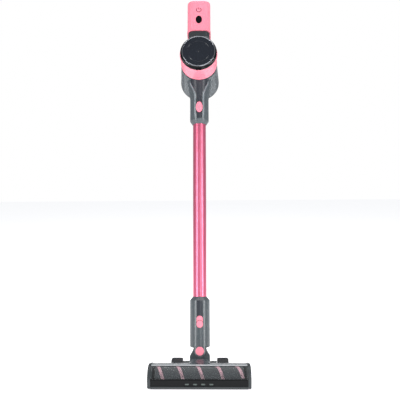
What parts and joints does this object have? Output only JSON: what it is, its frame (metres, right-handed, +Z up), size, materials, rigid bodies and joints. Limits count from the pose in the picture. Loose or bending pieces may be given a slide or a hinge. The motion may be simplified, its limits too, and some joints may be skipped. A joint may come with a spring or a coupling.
{
  "type": "cordless stick vacuum",
  "caption": "Upright cordless stick vacuum: handheld motor and dust cup, long wand tube and a wheeled floor head with a powered brush roller.",
  "frame": {"origin": "on the floor, under the middle of the glide strip of the floor head", "axes": "+X to the right of a person who faces the front of the vacuum, -Y towards its front, +Z up; the wand leans back 15 degrees towards +Y"},
  "size_m": [0.234, 0.4743, 0.9522],
  "materials": {
    "pink_plastic": "soft gloss moulded plastic",
    "rose_tube": "anodised rose aluminium",
    "grey_plastic": "satin grey plastic",
    "dark_plastic": "fine textured dark plastic",
    "black_gloss": "polished black plastic",
    "inlay_grey": "gloss dark grey plastic",
    "smoked_clear": "clear smoked plastic",
    "clear_window": "clear plastic",
    "silver_trim": "polished",
    "steel": "satin",
    "rubber": "matt",
    "plush": "cut pile",
    "felt": "felt",
    "filter_media": "pleated",
    "lens_white": "clear white plastic",
    "circuit": "lacquered board"
  },
  "bodies": {
    "handheld": {"neck_housing": "grey_plastic", "neck_inlay": "inlay_grey", "motor_housing": "pink_plastic", "motor": "steel", "exhaust_filter": "filter_media", "cyclone_core": "dark_plastic", "mesh_screen": "steel", "cup_gasket": "rubber", "handle_left": "grey_plastic", "handle_right": "grey_plastic", "handle_screws": "steel", "handle_collar": "grey_plastic", "handle_head_front": "pink_plastic", "handle_head_rear": "pink_plastic", "display_lens": "black_gloss", "control_board": "circuit", "grip_cover": "rubber", "grip_pad": "rubber"},
    "fan": {"fan": "steel"},
    "exhaust_cap": {"exhaust_cap": "black_gloss", "cap_trim_ring": "silver_trim", "cap_disc": "black_gloss"},
    "cup": {"dust_cup": "smoked_clear", "cup_pins": "steel"},
    "cup_lid": {"cup_lid": "dark_plastic", "lid_seal": "rubber"},
    "lid_latch": {"lid_latch": "pink_plastic"},
    "power_button": {"power_button": "black_gloss"},
    "release_button": {"release_button": "pink_plastic"},
    "battery": {"battery_pack": "grey_plastic", "charge_socket": "dark_plastic"},
    "battery_latch": {"battery_latch": "pink_plastic"},
    "wand": {"wand_tube": "rose_tube", "wire_duct": "dark_plastic"},
    "connector": {"lower_connector": "grey_plastic", "connector_strip": "inlay_grey", "steer_pins": "steel", "pivot_cap_front": "pink_plastic", "pivot_cap_back": "pink_plastic"},
    "connector_button": {"connector_button": "pink_plastic"},
    "elbow": {"elbow_yoke": "grey_plastic"},
    "floor_head": {"head_base": "dark_plastic", "head_cover": "grey_plastic", "roller_window": "clear_window", "front_bumper": "black_gloss", "led_lenses": "lens_white", "end_cap_left": "grey_plastic", "end_cap_right": "grey_plastic", "glide_strip": "felt", "brush_motor": "steel", "drive_belt": "rubber", "head_screws": "steel", "pivot_axles": "steel"},
    "roller": {"roller_core": "dark_plastic", "roller_plush": "plush"},
    "motor_pinion": {"motor_pinion": "steel"},
    "wheel_left": {"wheel_left": "dark_plastic", "tyre_left": "rubber"},
    "wheel_right": {"wheel_right": "dark_plastic", "tyre_right": "rubber"}
  },
  "joints": [
    {"name": "fan_spin", "type": "hinge", "parent": "handheld", "child": "fan", "pos_m": [0, 0.20152, 0.77842], "axis": [0, -0.9511, 0.309], "continuous": true},
    {"name": "exhaust_cap_twist", "type": "hinge", "parent": "handheld", "child": "exhaust_cap", "pos_m": [0, 0.15777, 0.79264], "axis": [0, -0.9511, 0.309], "range_deg": [0, 30]},
    {"name": "dust_cup_slide", "type": "slide", "parent": "handheld", "child": "cup", "axis": [0, 0.9511, -0.309], "range_m": [0, 0.12]},
    {"name": "cup_lid_hinge", "type": "hinge", "parent": "cup", "child": "cup_lid", "pos_m": [0, 0.29567, 0.68632], "axis": [-1, 0, 0], "range_deg": [0, 95]},
    {"name": "lid_latch_flex", "type": "hinge", "parent": "cup", "child": "lid_latch", "pos_m": [0, 0.32032, 0.80102], "axis": [1, 0, 0], "range_deg": [0, 12], "stiffness_Nm_per_rad": 0.4},
    {"name": "power_button_press", "type": "slide", "parent": "handheld", "child": "power_button", "axis": [0, 0.9511, -0.309], "range_m": [0, 0.0012], "stiffness_N_per_m": 600},
    {"name": "release_button_press", "type": "slide", "parent": "handheld", "child": "release_button", "axis": [0, 0.9659, -0.2588], "range_m": [0, 0.0024], "stiffness_N_per_m": 600},
    {"name": "battery_slide", "type": "slide", "parent": "handheld", "child": "battery", "axis": [0, 0.9511, -0.309], "range_m": [0, 0.045]},
    {"name": "battery_latch_press", "type": "slide", "parent": "battery", "child": "battery_latch", "axis": [0, -0.309, -0.9511], "range_m": [0, 0.0024], "stiffness_N_per_m": 600},
    {"name": "wand_slide", "type": "slide", "parent": "handheld", "child": "wand", "axis": [0, -0.2588, -0.9659], "range_m": [0, 0.06]},
    {"name": "connector_slide", "type": "slide", "parent": "wand", "child": "connector", "axis": [0, -0.2588, -0.9659], "range_m": [0, 0.05]},
    {"name": "connector_button_press", "type": "slide", "parent": "connector", "child": "connector_button", "axis": [0, 0.9659, -0.2588], "range_m": [0, 0.0024], "stiffness_N_per_m": 600},
    {"name": "head_steer", "type": "hinge", "parent": "connector", "child": "elbow", "pos_m": [0, 0.04621, 0.05219], "axis": [0, 0.9659, -0.2588], "range_deg": [-25, 25]},
    {"name": "head_pitch", "type": "hinge", "parent": "elbow", "child": "floor_head", "pos_m": [0, 0.037, 0.0178], "axis": [1, 0, 0], "range_deg": [-15, 65]},
    {"name": "roller_spin", "type": "hinge", "parent": "floor_head", "child": "roller", "pos_m": [0, -0.031, 0.0213], "axis": [1, 0, 0], "continuous": true},
    {"name": "motor_pinion_spin", "type": "hinge", "parent": "floor_head", "child": "motor_pinion", "pos_m": [0, 0.007, 0.015], "axis": [1, 0, 0], "continuous": true},
    {"name": "wheel_left_spin", "type": "hinge", "parent": "floor_head", "child": "wheel_left", "pos_m": [0, 0.037, 0.0178], "axis": [1, 0, 0], "continuous": true},
    {"name": "wheel_right_spin", "type": "hinge", "parent": "floor_head", "child": "wheel_right", "pos_m": [0, 0.037, 0.0178], "axis": [1, 0, 0], "continuous": true}
  ],
  "couplings": [
    {"joint": "motor_pinion_spin", "follows": "roller_spin", "ratio": 2}
  ]
}
